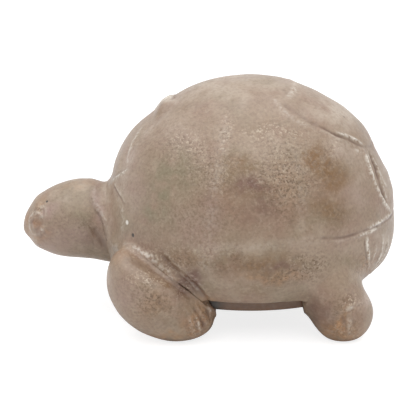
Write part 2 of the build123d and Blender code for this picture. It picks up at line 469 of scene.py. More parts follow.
# The skin is cut twice as fine beside the drawn lines.
fine_reach = 1.1
fine_step = 0.4
edges = shell.edges[:]
middles = np.array([(edge.verts[0].co + edge.verts[1].co) / 2 for edge in edges])
beside = np.zeros(len(middles), bool)
for path, *_ in lines:
    hops = np.linalg.norm(np.diff(path, axis=0), axis=1)
    travelled = np.concatenate([[0], np.cumsum(hops)])
    stops = np.arange(0, travelled[-1], fine_step)
    dense = np.stack([np.interp(stops, travelled, path[:, axis]) for axis in range(3)], 1)
    box_low, box_high = dense.min(0) - fine_reach, dense.max(0) + fine_reach
    close = np.nonzero(((middles > box_low) & (middles < box_high)).all(1) & ~beside)[0]
    for part in in_parts(close):
        gaps = np.linalg.norm(middles[part][:, None] - dense, axis=-1).min(1)
        beside[part[gaps < fine_reach]] = True
bmesh.ops.subdivide_edges(
    shell, edges=[edge for edge, near in zip(edges, beside) if near], cuts=1, use_grid_fill=True
)

# The skin is cut off above the rim and turned under in a rounded lip, which then runs up inside
# the wall. Each turn of the lip lies so far in from the skin, and so far above the cut.
lip_drop = 0.7
rim_cut = rim_height + lip_drop
bmesh.ops.bisect_plane(
    shell,
    geom=shell.verts[:] + shell.edges[:] + shell.faces[:],
    plane_co=(0, 0, rim_cut),
    plane_no=(0, 0, 1),
    clear_inner=True,
)
lip_turns = ((0.25, -0.45), (0.75, -lip_drop), (wall - 0.9, -lip_drop), (wall - 0.3, -0.45), (wall, 0.0))
inner_heights = (20.0, 28.7, 40.0, 52.0, 62.0, 68.0, 71.5)


def ring_share(height, depth):
    """The egg's breadth at a height, as a share of its girth, this deep in the wall."""
    reach = (shell_rise if height > girth_height else shell_tuck) - depth
    return np.sqrt(max(1 - ((height - girth_height) / reach) ** 2, 0))


edge_loop = [edge for edge in shell.edges if edge.is_boundary]
rings = [(rim_cut + lift, 0, inward, ring_share(rim_cut, 0)) for inward, lift in lip_turns]
rings += [(height, wall, 0, ring_share(height, wall)) for height in inner_heights]
for height, depth, inward, share in rings:
    drawn = bmesh.ops.extrude_edge_only(shell, edges=edge_loop)["geom"]
    edge_loop = [part for part in drawn if isinstance(part, bmesh.types.BMEdge) and part.is_boundary]
    for vertex in [part for part in drawn if isinstance(part, bmesh.types.BMVert)]:
        long = (vertex.co.x - shell_middle[0]) / shell_half_length
        bearing = np.arctan2(vertex.co.y / shell_half_width, long)
        vertex.co.x = shell_middle[0] + ((shell_half_length - depth) * share - inward) * np.cos(bearing)
        vertex.co.y = ((shell_half_width - depth) * share - inward) * np.sin(bearing)
        vertex.co.z = height
bmesh.ops.holes_fill(shell, edges=edge_loop)
fired("glazed_carapace", "carapace", shell)

# Belly plate: a slab rolled out and let into the rim, with a rounded lower edge and a vent hole.
# It is the darkest piece: umber, with painted shade over it where it lies under the rim.
belly_low, belly_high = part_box("belly_plate")
belly_half_length = (belly_high.x - belly_low.x) * metre / 2
belly_half_width = belly_high.y * metre
belly_under = belly_low.z * metre
belly_round = 1.5
belly_top = rim_height + 2.5
vent_radius = 3.0


def belly_form(points):
    """The slab, down to its lower face."""
    long = (points[..., 0] - shell_middle[0]) / belly_half_length
    wide = points[..., 1] / belly_half_width
    depth = np.maximum(belly_under - points[..., 2], points[..., 2] - belly_top)
    return np.maximum((np.hypot(long, wide) - 1) * belly_half_width, depth)


forms["belly_plate"] = belly_form

# The slab's half profile, from the vent outwards and back, with the breadth as a share of the
# whole. The last points run in over the step that lies inside the carapace's wall.
under_shares = (0.0, 0.35, 0.7, 0.9)
side_heights = (belly_under + 2.5, belly_under + 3.5, rim_height + 1.5)
step_share = 0.85
profile = [(share, belly_under) for share in under_shares]
for turn in np.linspace(0, np.pi / 2, 8):
    run = belly_half_width - belly_round + belly_round * np.sin(turn)
    profile.append((run / belly_half_width, belly_under + belly_round * (1 - np.cos(turn))))
profile += [(1.0, height) for height in side_heights]
profile += [(step_share, belly_top), (0.0, belly_top)]
slab = bmesh.new()
corners = [slab.verts.new((share, 0, height)) for share, height in profile]
for start, end in zip(corners, corners[1:] + corners[:1]):
    slab.edges.new((start, end))
bmesh.ops.spin(
    slab,
    geom=slab.verts[:] + slab.edges[:],
    axis=(0, 0, 1),
    cent=(0, 0, 0),
    angle=tau,
    steps=240,
    use_merge=True,
)
for vertex in slab.verts:
    share = np.hypot(vertex.co.x, vertex.co.y)
    bearing = np.arctan2(vertex.co.y, vertex.co.x)
    long = vent_radius + (belly_half_length - vent_radius) * share
    wide = vent_radius + (belly_half_width - vent_radius) * share
    vertex.co = (shell_middle[0] + long * np.cos(bearing), wide * np.sin(bearing), vertex.co.z)
fired("glazed_belly_plate", "belly_plate", slab)

# Head and neck: one lump rolled to a blunt wedge of a snout, and drawn out behind to a neck that
# is pushed through the carapace wall.
head_low, head_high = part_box("head_and_neck")
snout_length = 20.1
crown_x = head_low.x * metre + snout_length
head_half_width = head_high.y * metre
head_half_depth = (head_high.z - head_low.z) * metre / 2 + 0.2
head_height = (head_high.z + head_low.z) * metre / 2 + 0.1
snout_reach = snout_length + 0.2
nape_reach = 11.2
snout_wedge = 1.94
brow_fall = 1.15
brow_share = 0.45
beak_fall = 1.4
beak_bend = 13
tapped_flat = 0.22
tapped_at = 0.89
tapped_reach = 0.06
bulge_at = 0.76
bulge_reach = 0.08
head_middle = (crown_x - 3, 0, head_height - 0.5)
head_half = (17.0, head_half_width, head_half_depth - 0.5)
neck_middle = (crown_x + 9, 0, head_height - 2.3)
neck_half = (22.0, 11.2, 12.3)
neck_lean = 0.14


def ellipsoid(points, middle, half, lean=0.0):
    """Rough distance from an ellipsoid of these half sizes, its length leaning down at the back."""
    offset = points - np.array(middle)
    x = offset[..., 0] * np.cos(lean) - offset[..., 2] * np.sin(lean)
    z = offset[..., 0] * np.sin(lean) + offset[..., 2] * np.cos(lean)
    return from_round(np.stack([x, offset[..., 1], z], -1), half)


def melted(first, second, fillet):
    """Two forms as one, with a fillet of about this size where they meet."""
    share = np.clip(1 - np.abs(first - second) / fillet, 0, 1)
    return np.minimum(first, second) - share * share * fillet / 4


def trimmed(form, cut, fillet):
    """What of a form lies inside another too, with a rounded edge of about this size."""
    return -melted(-form, -cut, fillet)


def head_form(points):
    """Skull and neck, with the brow falling away to a low snout that is tapped flat in front."""
    ahead = np.clip((crown_x - points[..., 0]) / snout_reach, 0, 1.2)
    fall = brow_fall * (1 - np.exp(-np.square(ahead / brow_share))) + beak_fall * ahead**beak_bend
    offset = points - np.array([crown_x, 0, head_height])
    offset[..., 2] += fall
    reach = np.where(offset[..., 0] < 0, snout_reach, nape_reach)
    wide = np.full_like(reach, head_half_width)
    deep = np.full_like(reach, head_half_depth)
    half = np.stack([reach, wide, deep], -1)
    near = (np.abs(offset / half) ** snout_wedge).sum(-1) ** (1 / snout_wedge)
    steep = np.linalg.norm(offset / np.square(half), axis=-1) + tiny
    skull = near * (near - 1) / steep
    tapped = np.exp(-np.square((ahead - tapped_at) / tapped_reach))
    bulge = np.exp(-np.square((ahead - bulge_at) / bulge_reach))
    neck = ellipsoid(points, neck_middle, neck_half, neck_lean)
    return melted(skull + tapped_flat * (tapped - bulge), neck, fillet=1.2)


forms["head_and_neck"] = head_form
fired("glazed_head_and_neck", "head_and_neck", ball(head_middle, head_half, 76))

# Collar: a coil of clay pressed round the neck and pulled back on to the shell, so that it stands
# like a loose fold of skin behind the head. Its front edge leans back under the neck.
collar_edge_heights = (16.0, 22.0, 27.9, 32.6, 34.7, 37.0, 39.8, 43.0)
collar_edge_x = (-28.3, -29.2, -30.4, -32.3, -33.8, -35.6, -37.3, -37.6)
collar_length = 13.0
collar_proud = 0.75
collar_inset = 2.5
collar_thins_above = 40.5
collar_thinning = 1.1
edge_slant = 0.9
flare = 1.6
flare_length = 8.0
most_flared = 1.3


def collar_form(points):
    """A sleeve round the neck, from its slanting front edge back into the shell."""
    edge = np.interp(points[..., 2], collar_edge_heights, collar_edge_x)
    along = (points[..., 0] - edge) * edge_slant
    flared = np.clip(along / flare_length, 0, most_flared)
    neck = head_form(points)
    thinned = collar_thinning * rising(points[..., 2], collar_thins_above, softness=1.0)
    sleeve = neck - collar_proud * (1 - thinned) - flare * flared * flared
    ring = trimmed(sleeve, -(neck + collar_inset), fillet=1.5)
    ring = trimmed(ring, -along, fillet=1.8)
    return trimmed(ring, along - collar_length, fillet=2.0)


forms["neck_collar"] = collar_form

# A ring is spun and stretched to an oval sleeve, whose front follows the slanting edge.
ring_radius = 10.0
coil_height = 11.6
coil_breadth = 10.6
coil_thickness = 1.9
coil_half_length = 5.8
coil_behind_edge = 6.5
coil_middle = head_height - 1.4
coil = bmesh.new()
bmesh.ops.create_circle(coil, radius=1.0, segments=88)
bmesh.ops.rotate(coil, verts=coil.verts, cent=(0, 0, 0), matrix=Matrix.Rotation(radians(90), 3, "X"))
bmesh.ops.translate(coil, verts=coil.verts, vec=(0, 0, ring_radius))
bmesh.ops.spin(
    coil,
    geom=coil.verts[:] + coil.edges[:],
    axis=(1, 0, 0),
    cent=(0, 0, 0),
    angle=tau,
    steps=210,
    use_merge=True,
)
for vertex in coil.verts:
    around = np.arctan2(vertex.co.y, vertex.co.z)
    out = (np.hypot(vertex.co.y, vertex.co.z) - ring_radius) * coil_thickness
    height = coil_middle + (coil_height + out) * np.cos(around)
    edge = np.interp(height, collar_edge_heights, collar_edge_x)
    x = edge + coil_behind_edge + coil_half_length * vertex.co.x
    vertex.co = (x, (coil_breadth + out) * np.sin(around), height)
fired("glazed_neck_collar", "neck_collar", coil)

# Folds where the neck is drawn back, and the marks of a fingernail over the eye.
nape_fold = [
    (93, 184), (90.8, 190), (89.8, 199), (94, 207), (101.3, 215.5), (105.5, 222.5), (109, 230), (112, 238),
]
draw(nape_fold, head_form, depth=0.2, width=0.9, dark=0.3)
throat_fold = [(90.8, 225), (95.7, 232.5), (101.3, 239), (104, 245.7), (112.5, 251.3)]
draw(throat_fold, head_form, depth=0.35, width=1.1, dark=0.6)
# A painted highlight along the collar's rounded edge.
collar_shine = [(94, 188), (95, 210), (99, 221), (104, 230), (111.5, 247)]
draw(collar_shine, collar_form, burr=0.1, burr_width=0.6, pale=0.35)
collar_dent = [(117.5, 207), (120, 218), (118, 231)]
draw(
    collar_dent, carapace_form, depth=0.15, width=1.0, burr=0.1, burr_at=2.0, burr_width=1.0, dark=0.15,
    pale=0.4,
)
front_nail_mark = [(33.4, 209.6), (35.5, 208.6), (38, 209)]
draw(front_nail_mark, head_form, depth=0.3, width=0.4, dark=0.9)
back_nail_mark = [(43, 208.5), (44.3, 211.8), (44, 214)]
draw(back_nail_mark, head_form, depth=0.25, width=0.4, burr=0.2, burr_at=0.8)
cheek_line = [(46.5, 229), (45, 232.5), (41, 236)]
draw(cheek_line, head_form, depth=0.2)

# Eyes: two flat pellets of the same clay, pressed on the cheeks and smoothed in. A ring stands up
# round each of them, and a blunt point has pressed the hollow of the pupil.
eye_pixel = (36.8, 223.8)
eye_half = np.array([2.4, 3.3, 1.7])
eye_sink = 1.0
cheek = settle(on_clay([eye_pixel], head_form), head_form)
cheek_out = slope(head_form, cheek)[0]
cheek_out /= np.linalg.norm(cheek_out)
cheek_along = np.cross([0, 0, 1], cheek_out)
cheek_along /= np.linalg.norm(cheek_along)
cheek_up = np.cross(cheek_out, cheek_along)
eye_seat = cheek[0] - cheek_out * eye_sink


def eye_form(points):
    """The near eye, a flat pellet that lies square to the cheek."""
    offset = points - eye_seat
    turned = np.stack([offset @ cheek_along, offset @ cheek_up, offset @ cheek_out], -1)
    return from_round(turned, eye_half)


def eye_and_cheek(points):
    """The near eye, melted into the head."""
    return melted(head_form(points), eye_form(points), fillet=0.8)


def far(form):
    """The same form on the turtle's far side."""
    return lambda points: form(points * np.array([1, -1, 1]))


for node, side in (("left_eye", 1), ("right_eye", -1)):
    forms[node] = eye_form if side > 0 else far(eye_form)
    pellet = ball((0, 0, 0), eye_half, 36)
    for vertex in pellet.verts:
        x, y, z = vertex.co
        place = eye_seat + cheek_along * x + cheek_up * y + cheek_out * z
        vertex.co = place * np.array([1, side, 1])
    fired("glazed_" + node, node, pellet)
ring_pixel = np.array([36.8, 223.5])
ring_reach = np.array([6.9, 10.5])
ring_turns = np.linspace(0, tau, 17)
eye_ring = ring_pixel + ring_reach * np.stack([np.cos(ring_turns), np.sin(ring_turns)], 1)
draw(eye_ring, eye_and_cheek, burr=0.55, burr_width=0.7, pale=0.45)
eye_hollow = [(34.6, 219.8), (36.5, 219.4), (38.6, 219.8)]
draw(eye_hollow, eye_and_cheek, depth=0.6, width=0.75, dark=0.15)
# A low ridge under the eye, touched pale as a painted glint.
lower_eye_glint = [(33.6, 225), (34.6, 228), (36, 231)]
draw(lower_eye_glint, eye_and_cheek, burr=0.3, burr_width=0.8, pale=0.1)
brow_ridge = [(38, 202), (41, 206), (43.8, 213.5)]
draw(brow_ridge, eye_and_cheek, burr=0.4, burr_width=0.8, pale=0.3)

# Front flippers: two broad limbs, each a fat leaf of clay swept back, thinned at its top under
# the shell's margin, and pressed flat on the table at its toes.
thigh_middle = (-15.9, -26.9, 16.9)
thigh_half = (17.0, 12.0, 14.4)
thigh_sweep = radians(55)
toes_middle = (-7.0, -27.3, 6.6)
toes_half = (8.8, 7.5, 6.2)
lid_pixel = (155, 267)
thigh_lid = on_clay([lid_pixel], carapace_form)[0]
lid_way = np.array([0.48, -0.14, 0.86])
limb_middle = np.array([-14.5, -26.9, 13.5])
limb_half = (15.5, 11.5, 12.5)
limb_lean = radians(30)


def limb_form(points):
    """The near flipper, thigh and toes in one."""
    thigh = ellipsoid(points, thigh_middle, thigh_half, thigh_sweep)
    toes = ellipsoid(points, toes_middle, toes_half)
    limb = melted(thigh, toes, fillet=5.5)
    return trimmed(limb, (points - thigh_lid) @ lid_way, fillet=5.0)


# A crumb of clay is left behind the toes, beside the belly plate.
crumb_pixel = (209, 303)
crumb_half = (1.7, 1.7, 1.9)
crumb = settle(on_clay([crumb_pixel], limb_form), limb_form)[0]


def flipper_form(points):
    """The near flipper with its crumb of clay."""
    return melted(limb_form(points), ellipsoid(points, crumb, crumb_half), fillet=0.8)


for node, side in (("front_left_flipper", 1), ("front_right_flipper", -1)):
    forms[node] = flipper_form if side > 0 else far(flipper_form)
    fired("glazed_" + node, node, ball(limb_middle * np.array([1, side, 1]), limb_half, 84, limb_lean))
long_toe_stroke = [(193, 306), (197.5, 313), (202, 320), (205.5, 329)]
draw(
    long_toe_stroke, flipper_form, depth=0.45, width=0.6, burr=0.15, burr_at=1.2, burr_width=0.6, dark=0.8,
    pale=0.2,
)
front_toe_stroke = [(186, 316), (187, 323), (189, 330), (190, 336)]
draw(front_toe_stroke, flipper_form, depth=0.12, width=0.6, burr=0.15, burr_at=1.0, pale=0.3)
middle_toe_stroke = [(194, 317), (196, 324), (197, 333)]
draw(
    middle_toe_stroke, flipper_form, depth=0.15, burr=0.12, burr_at=0.9, burr_width=0.4, dark=0.4, pale=0.5,
)
back_toe_stroke = [(203, 306), (208, 312), (210, 320)]
draw(back_toe_stroke, flipper_form, depth=0.2, burr=0.15, burr_at=0.9, pale=0.4)
flipper_dip = [
    (118, 256), (130.7, 260), (141.4, 266.5), (153, 271.5), (165.5, 278), (173.8, 285.5), (183, 292),
]
draw(flipper_dip, flipper_form, depth=0.12, width=1.2, dark=0.35)
flipper_top_line = [(157, 268), (166, 277), (174, 285), (182.5, 292), (192, 298)]
draw(flipper_top_line, flipper_form, depth=0.2, width=0.8)

# Hind feet: each is a ball of clay pressed flat on the table, under a short thigh whose clay is
# drawn up on to the shell. The toes are strokes of the blunt tool.
foot_middle = (41.7, -26.5, 8.8)
foot_half = (9.5, 9.0, 10.1)
foot_lean = radians(-38)
hind_thigh_middle = (38.4, -26.5, 16.0)
hind_thigh_half = (8.0, 9.5, 10.0)
hind_limb_middle = np.array([41.0, -26.5, 11.5])
hind_limb_half = (9.2, 9.2, 12.0)


def hind_form(points):
    """The near hind foot with its thigh."""
    foot = ellipsoid(points, foot_middle, foot_half, foot_lean)
    thigh = ellipsoid(points, hind_thigh_middle, hind_thigh_half)
    return melted(foot, thigh, fillet=4.5)


for node, side in (("rear_left_foot", 1), ("rear_right_foot", -1)):
    forms[node] = hind_form if side > 0 else far(hind_form)
    fired("glazed_" + node, node, ball(hind_limb_middle * np.array([1, side, 1]), hind_limb_half, 68))
hind_toe_stroke = [(342, 313), (343.4, 319), (345, 325), (345, 332)]
draw(hind_toe_stroke, hind_form, depth=0.4, width=0.7, dark=0.5)
hind_toe_top = [(344.5, 313), (350, 311.5), (356, 307)]
draw(hind_toe_top, hind_form, depth=0.1, burr=0.2, burr_at=0.9, burr_width=0.6, dark=0.2, pale=0.7)
hind_toe_ridge = [(348.5, 316), (349.5, 325), (348.5, 336)]
draw(hind_toe_ridge, hind_form, burr=0.35, burr_width=0.7, pale=0.35)
hind_back_stroke = [(352.5, 317), (353.5, 323), (353, 329)]
draw(hind_back_stroke, hind_form, depth=0.25, width=0.6, dark=0.45)
# Painted shade down the hind thigh beside the belly plate: a wide dark band with no groove.
thigh_painted_shade = [(310, 300), (312, 312), (316, 322), (323, 332)]
draw(thigh_painted_shade, hind_form, width=2.6, dark=0.4)

# Tail: a short cone of the same clay, pressed on under the back of the rim, where it droops over
# the end of the belly plate.
tail_middle = (46.0, 0, 9.2)
tail_half = (7.5, 3.5, 3.5)
tail_droop = radians(50)


def tail_form(points):
    """The tail's cone, drooping."""
    return ellipsoid(points, tail_middle, tail_half, tail_droop)


forms["tail"] = tail_form
fired("glazed_tail", "tail", ball(tail_middle, tail_half, 32, tail_droop))

# Joints: slip is worked into each joint and wiped with a wet finger, so that the skin runs on
# from piece to piece. The hind thighs are drawn out widest. Each row gives the two pieces, the
# size of the fillet and how dark the joint is made: the glaze pools in each, and the belly plate's
# joints, which lie in the shell's shadow, are darkened further as painted shade.
joints = (
    ("carapace", "rear_left_foot", 4.5, 0.1),
    ("carapace", "rear_right_foot", 4.5, 0.1),
    ("carapace", "front_left_flipper", 3.0, 0.2),
    ("carapace", "front_right_flipper", 3.0, 0.2),
    ("carapace", "neck_collar", 4.5, 0.0),
    ("head_and_neck", "neck_collar", 2.0, 0.25),
    ("head_and_neck", "left_eye", 0.8, 0.25),
    ("head_and_neck", "right_eye", 0.8, 0.25),
    ("carapace", "belly_plate", 0.2, 0.8),
    ("carapace", "tail", 1.5, 0.3),
    ("belly_plate", "tail", 1.0, 0.3),
    ("belly_plate", "front_left_flipper", 0.2, 0.5),
    ("belly_plate", "front_right_flipper", 0.2, 0.5),
    ("belly_plate", "rear_left_foot", 0.2, 0.5),
    ("belly_plate", "rear_right_foot", 0.2, 0.5),
)


def neighbours(node):
    """A piece's neighbours, each with its fillet and how dark the joint is."""
    beside_it = [(other, fillet, dark) for first, other, fillet, dark in joints if first == node]
    return beside_it + [(first, fillet, dark) for first, other, fillet, dark in joints if other == node]


def luted(node):
    """A piece's form with its clay smoothed into that of its neighbours."""

    def form(points):
        """The piece's own skin, and its half of each fillet."""
        skin = forms[node](points)
        for other, fillet, _ in neighbours(node):
            skin = melted(skin, np.maximum(forms[other](points), fillet / 4), fillet)
        return skin

    return form


def wobble(points):
    """The unevenness of clay shaped by hand, in long waves and the dabs of fingertips."""
    waves = ((0.21, 0.05, 0.11, 0.4, 0.09), (-0.08, 0.19, 0.14, 2.1, 0.08), (0.12, -0.1, 0.25, 4.0, 0.06))
    dabs = ((0.61, 0.35, -0.3, 1.0, 0.035), (-0.35, 0.5, 0.55, 3.0, 0.035), (0.25, -0.6, 0.7, 5.0, 0.03))
    swell = 0
    for x, y, z, start, height in waves + dabs:
        swell = swell + height * np.sin(points @ np.array([x, y, z]) + start)
    return swell


def drawn_beside(points, out, path, side):
    """How far each point lies above a drawn line, and how far along it."""
    run = np.diff(path, axis=0)
    length = np.linalg.norm(run, axis=1) + tiny
    reach = points[:, None] - path[:-1]
    share = np.clip((reach * run).sum(-1) / length**2, 0, 1)
    offset = reach - share[..., None] * run
    nearest = np.square(offset).sum(-1).argmin(1)
    row = np.arange(len(points))
    offset = offset[row, nearest]
    above = np.sign((offset * np.cross(out, run[nearest])).sum(-1)) * side
    flat = offset - out * (offset * out).sum(-1)[:, None]
    travelled = np.concatenate([[0], np.cumsum(length)])[nearest] + share[row, nearest] * length[nearest]
    return above * np.linalg.norm(flat, axis=1), travelled, length.sum()


def pressed_flat(points, soft=0.3):
    """Points pressed flat where they would go below the table, with a soft turn at the edge."""
    points[:, 2] = soft * np.logaddexp(0, points[:, 2] / soft)
    return points


# Each piece's grid is settled on its form, made uneven and pressed on the table, and then the
# lines are drawn in it. The marks left on it tell the glaze where to pool and where to break,
# and where shade and highlights are painted.
# The inside of the carapace and the slab of the belly plate keep the shapes they were made in.
slow_to_settle = ("neck_collar", "front_left_flipper", "front_right_flipper")
joint_darkening_reach = 0.9
line_end = 2.0
marks = {}
skins = {}
for node, obj in clay.items():
    flat = np.empty(len(obj.data.vertices) * 3)
    obj.data.vertices.foreach_get("co", flat)
    points = flat.reshape(-1, 3) * metre
    skinned = np.ones(len(points), bool)
    if node == "carapace":
        skinned = egg(points) > -1.0
    if node == "belly_plate":
        skinned = np.zeros(len(points), bool)
    form = luted(node)
    points[skinned] = settle(points[skinned], form, 14 if node in slow_to_settle else 6)
    out = np.zeros_like(points)
    out[skinned] = slope(form, points[skinned])
    out /= np.maximum(np.linalg.norm(out, axis=1), tiny)[:, None]
    points += out * wobble(points)[:, None]
    if "foot" in node or "flipper" in node:
        points = pressed_flat(points)
    crease = np.zeros(len(points))
    ridge = np.zeros(len(points))
    lift = np.zeros(len(points))
    for path, side, depth, width, burr, burr_at, burr_width, dark, pale in lines:
        margin = max(3 * width, abs(burr_at) + 3 * burr_width)
        inside = (points > path.min(0) - margin) & (points < path.max(0) + margin)
        close = np.nonzero(inside.all(1) & skinned)[0]
        for part in in_parts(close):
            if not len(part):
                continue
            above, travelled, length = drawn_beside(points[part], out[part], path, side)
            # The tool's pressure wavers along the line, and eases off at its ends.
            ends = np.clip(np.minimum(travelled, length - travelled) / line_end, 0.25, 1)
            press = ends * (0.85 + 0.25 * np.sin(travelled / 2.1 + length) + 0.15 * np.sin(travelled / 0.9))
            groove = np.exp(-np.square(above / width)) * press
            raised = np.exp(-np.square((above - burr_at) / burr_width)) * press
            lift[part] += burr * raised - depth * groove
            crease[part] = np.maximum(crease[part], dark * np.clip(groove, 0, 1))
            ridge[part] = np.maximum(ridge[part], pale * np.clip(raised, 0, 1))
    points += out * lift[:, None]
    # The joints darken: pooled glaze, and painted shade in the belly plate's joints.
    for other, fillet, dark in neighbours(node):
        gap = np.maximum(forms[other](points), 0)
        crease = np.maximum(crease, dark * np.exp(-np.square(gap / joint_darkening_reach)))
    obj.data.vertices.foreach_set("co", (points / metre).ravel())
    obj.data.update()
    marks[node] = {"crease": crease, "ridge": ridge}
    skins[node] = points

# Glaze: a satin stoneware glaze poured over the whole figurine. It breaks pale on raised edges,
# pools dark in the lines, and fires browner, redder or greener where it lies thin. Light and shade
# are painted into it as well: highlights, glints, light from the table and shade under the shell.
# Each patch is given by its middle and half sizes in the picture, and its strength. In the pitted
# patches the glaze has dark pits, and the glinting ones are painted glints, pale spots of highlight.
# Some pale patches, and the tan one along the bottom of the front flipper, are painted light: sheen
# over the top of the shell, highlights on the scute over the neck and beside the collar, and light
# from the table along the lower edges of the feet. The rose and umber patches on the hind foot
# beside the belly plate are painted shade.
# The patches of a colour go from the left of the picture to the right.
patches = {
    "olive": (
        (81, 217, 9, 11, 0.75), (120, 215, 6, 10, 0.3), (135, 225, 14, 12, 0.4), (143, 289, 11, 7, 0.2),
        (158, 205, 20, 24, 1.0), (172, 172, 24, 28, 0.9), (190, 215, 16, 16, 0.4),
        (190, 250, 18, 8, 0.5), (225, 262, 28, 9, 0.6), (238, 166, 20, 13, 1.0), (257, 197, 9, 5, 0.8),
        (260, 290, 40, 6, 0.4), (300, 262, 20, 7, 0.5), (332, 214, 14, 12, 0.6), (352, 262, 18, 8, 0.6),
    ),
    "umber": (
        (96, 234, 7, 8, 0.15), (158, 306, 17, 11, 0.5), (170, 281, 12, 5, 0.6), (188, 262, 26, 10, 0.6),
        (196, 314, 19, 18, 0.55), (207, 316, 5, 10, 0.35), (212, 215, 12, 30, 0.2),
        (222, 176, 10, 18, 0.6), (225, 134, 36, 18, 0.2), (238, 167, 20, 13, 0.9),
        (255, 190, 62, 34, 0.35), (255, 228, 75, 30, 0.16), (255, 292, 26, 7, 0.4),
        (256, 190, 26, 14, 0.7), (258, 265, 46, 12, 0.85), (262, 126, 24, 12, 0.25),
        (262, 208, 30, 14, 0.35), (262, 262, 80, 14, 0.3), (272, 277, 30, 6, 0.7),
        (285, 190, 30, 40, 0.32), (302, 136, 24, 16, 0.3), (315, 157, 14, 14, 1.25),
        (318, 314, 12, 18, 0.5), (325, 168, 17, 15, 1.0), (329, 208, 18, 17, 0.75),
        (335, 181, 17, 12, 0.95), (336, 328, 22, 14, 0.8), (338, 305, 16, 9, 0.5),
        (343.5, 321, 4, 10, 1.3), (350, 262, 26, 10, 0.25), (354, 329, 8, 8, 0.5),
        (363, 316, 5, 9, 0.4), (372, 262, 6, 8, 0.35),
    ),
    # Rose glaze, and painted shade on the hind foot beside the belly plate.
    "rose": (
        (37, 220, 5, 4, 0.9), (37, 230, 5, 5, 0.3), (95, 238, 10, 11, 0.3), (190, 283, 13, 11, 1.4),
        (204, 321, 4, 9, 0.7), (213, 215, 12, 30, 0.25), (215, 268, 30, 8, 0.15),
        (254, 186, 17, 9, 1.15), (264, 208, 22, 15, 0.65), (282, 267, 12, 3.5, 0.9),
        (316, 312, 9, 14, 0.7), (323, 316, 12, 14, 0.55),
    ),
    "tan": (
        (29, 222, 6, 14, 0.4), (36, 213, 8, 4, 0.45), (36, 221, 9, 11, 0.45), (37, 237, 8, 5, 0.5),
        (40, 203, 6, 7, 0.5), (43.5, 224, 3, 10, 0.4), (70, 183, 34, 5, 0.25), (118, 256, 7, 6, 0.45),
        (156, 308, 20, 12, 0.2), (163, 338, 34, 5, 0.7), (199, 323, 19, 17, 0.75),
        (203, 318, 16, 18, 0.4), (209, 302, 4, 5, 0.8), (272, 278, 30, 4.5, 0.5),
        (288, 180, 16, 30, 0.15), (340, 334, 20, 10, 0.9), (343.5, 323, 6, 11, 1.2),
        (352, 323, 4, 9, 0.5), (366, 262, 9, 8, 0.5),
    ),
    "lilac": (
        (38, 227, 5, 9, 0.5), (52, 211, 12, 8, 0.9), (60, 243, 30, 8, 0.6), (70, 228, 28, 14, 0.4),
        (76, 236, 26, 12, 0.7), (98, 205, 4, 22, 0.8), (124, 290, 14, 22, 0.5), (129, 160, 8, 16, 0.5),
        (137, 190, 12, 18, 0.5), (180, 140, 20, 14, 0.4), (190, 225, 16, 20, 0.4),
        (190, 282, 12, 8, 0.5), (212, 215, 9, 34, 0.4), (236, 262, 8, 14, 0.4), (325, 318, 12, 14, 0.5),
        (341, 153, 13, 13, 0.3), (356, 200, 12, 20, 0.4), (362, 310, 8, 14, 0.5),
    ),
    # Pale glaze, with painted sheen on the shell's top, painted highlights, and painted table light under
    # the feet.
    "pale": (
        (36, 223, 9, 13, 0.45), (48, 243, 14, 6, 0.3), (52, 210, 11, 8, 0.75), (60, 201, 16, 8, 0.5),
        (76, 249, 22, 6, 0.25), (84, 182, 16, 5, 0.4), (103, 213, 7, 13, 0.4), (109, 206, 4, 22, 0.6),
        (114, 295, 10, 30, 0.4), (124, 180, 15, 38, 0.6), (155, 333, 34, 8, 0.45), (166, 99, 8, 6, 1.3),
        (172, 126, 28, 17, 0.45), (215, 88, 70, 17, 0.65), (270, 292, 34, 4, 0.3),
        (280, 86, 40, 13, 0.45), (338, 111, 28, 17, 0.95), (342, 152, 15, 12, 1.1),
        (345, 252, 22, 16, 0.25), (346, 334, 24, 7, 0.25), (352, 303, 8, 7, 0.4),
        (356, 168, 9, 26, 0.6), (364, 305, 6, 10, 1.4), (381, 252, 6, 18, 0.9), (384, 178, 6, 24, 0.5),
    ),
    "pitted": (
        (38, 208, 6, 5, 0.8), (60, 222, 16, 12, 0.2), (85, 224, 12, 9, 0.5), (143, 291, 14, 9, 0.6),
        (157, 303, 18, 12, 1.0), (160, 258, 12, 8, 0.5), (175, 148, 22, 14, 0.4),
        (185, 262, 24, 9, 0.7), (186, 285, 9, 8, 0.8), (198, 322, 13, 13, 0.6), (205, 215, 46, 28, 0.4),
        (212, 170, 30, 26, 0.7), (222, 140, 10, 12, 0.5), (240, 264, 40, 9, 0.7),
        (283, 180, 32, 38, 1.0), (288, 275, 26, 8, 1.0), (308, 262, 16, 9, 1.0),
        (322, 165, 20, 22, 0.5), (330, 212, 16, 14, 0.5), (335, 308, 15, 14, 0.5),
        (345, 328, 15, 10, 0.4), (350, 305, 10, 8, 0.5), (365, 262, 8, 10, 0.5),
    ),
    # Painted glints: where the glaze would catch the soft box in sparkles.
    "glinting": (
        (40, 208, 6, 8, 0.6), (148, 280, 18, 7, 1.0), (150, 254, 26, 7, 0.7), (172, 268, 12, 12, 0.5),
        (186, 144, 18, 16, 0.7), (186, 287, 9, 8, 0.9), (198, 324, 10, 10, 0.6), (205, 250, 40, 8, 0.3),
        (212, 172, 26, 24, 0.3), (226, 133, 6, 20, 0.7), (272, 132, 34, 7, 0.8),
        (283, 168, 36, 36, 0.4), (305, 264, 16, 8, 0.4), (336, 150, 8, 8, 0.7), (346, 328, 12, 10, 0.4),
        (350, 304, 10, 7, 1.0),
    ),
}


def in_picture(points):
    """The pixels where points show, with the far side's points seen as if on the near side."""
    near = points * np.array([1, 0, 1]) - np.abs(points) * np.array([0, 1, 0])
    sight = near - camera_place
    scale = focal_pixels / (sight @ look)
    return picture_middle + (sight @ sideways) * scale, picture_middle - (sight @ upwards) * scale
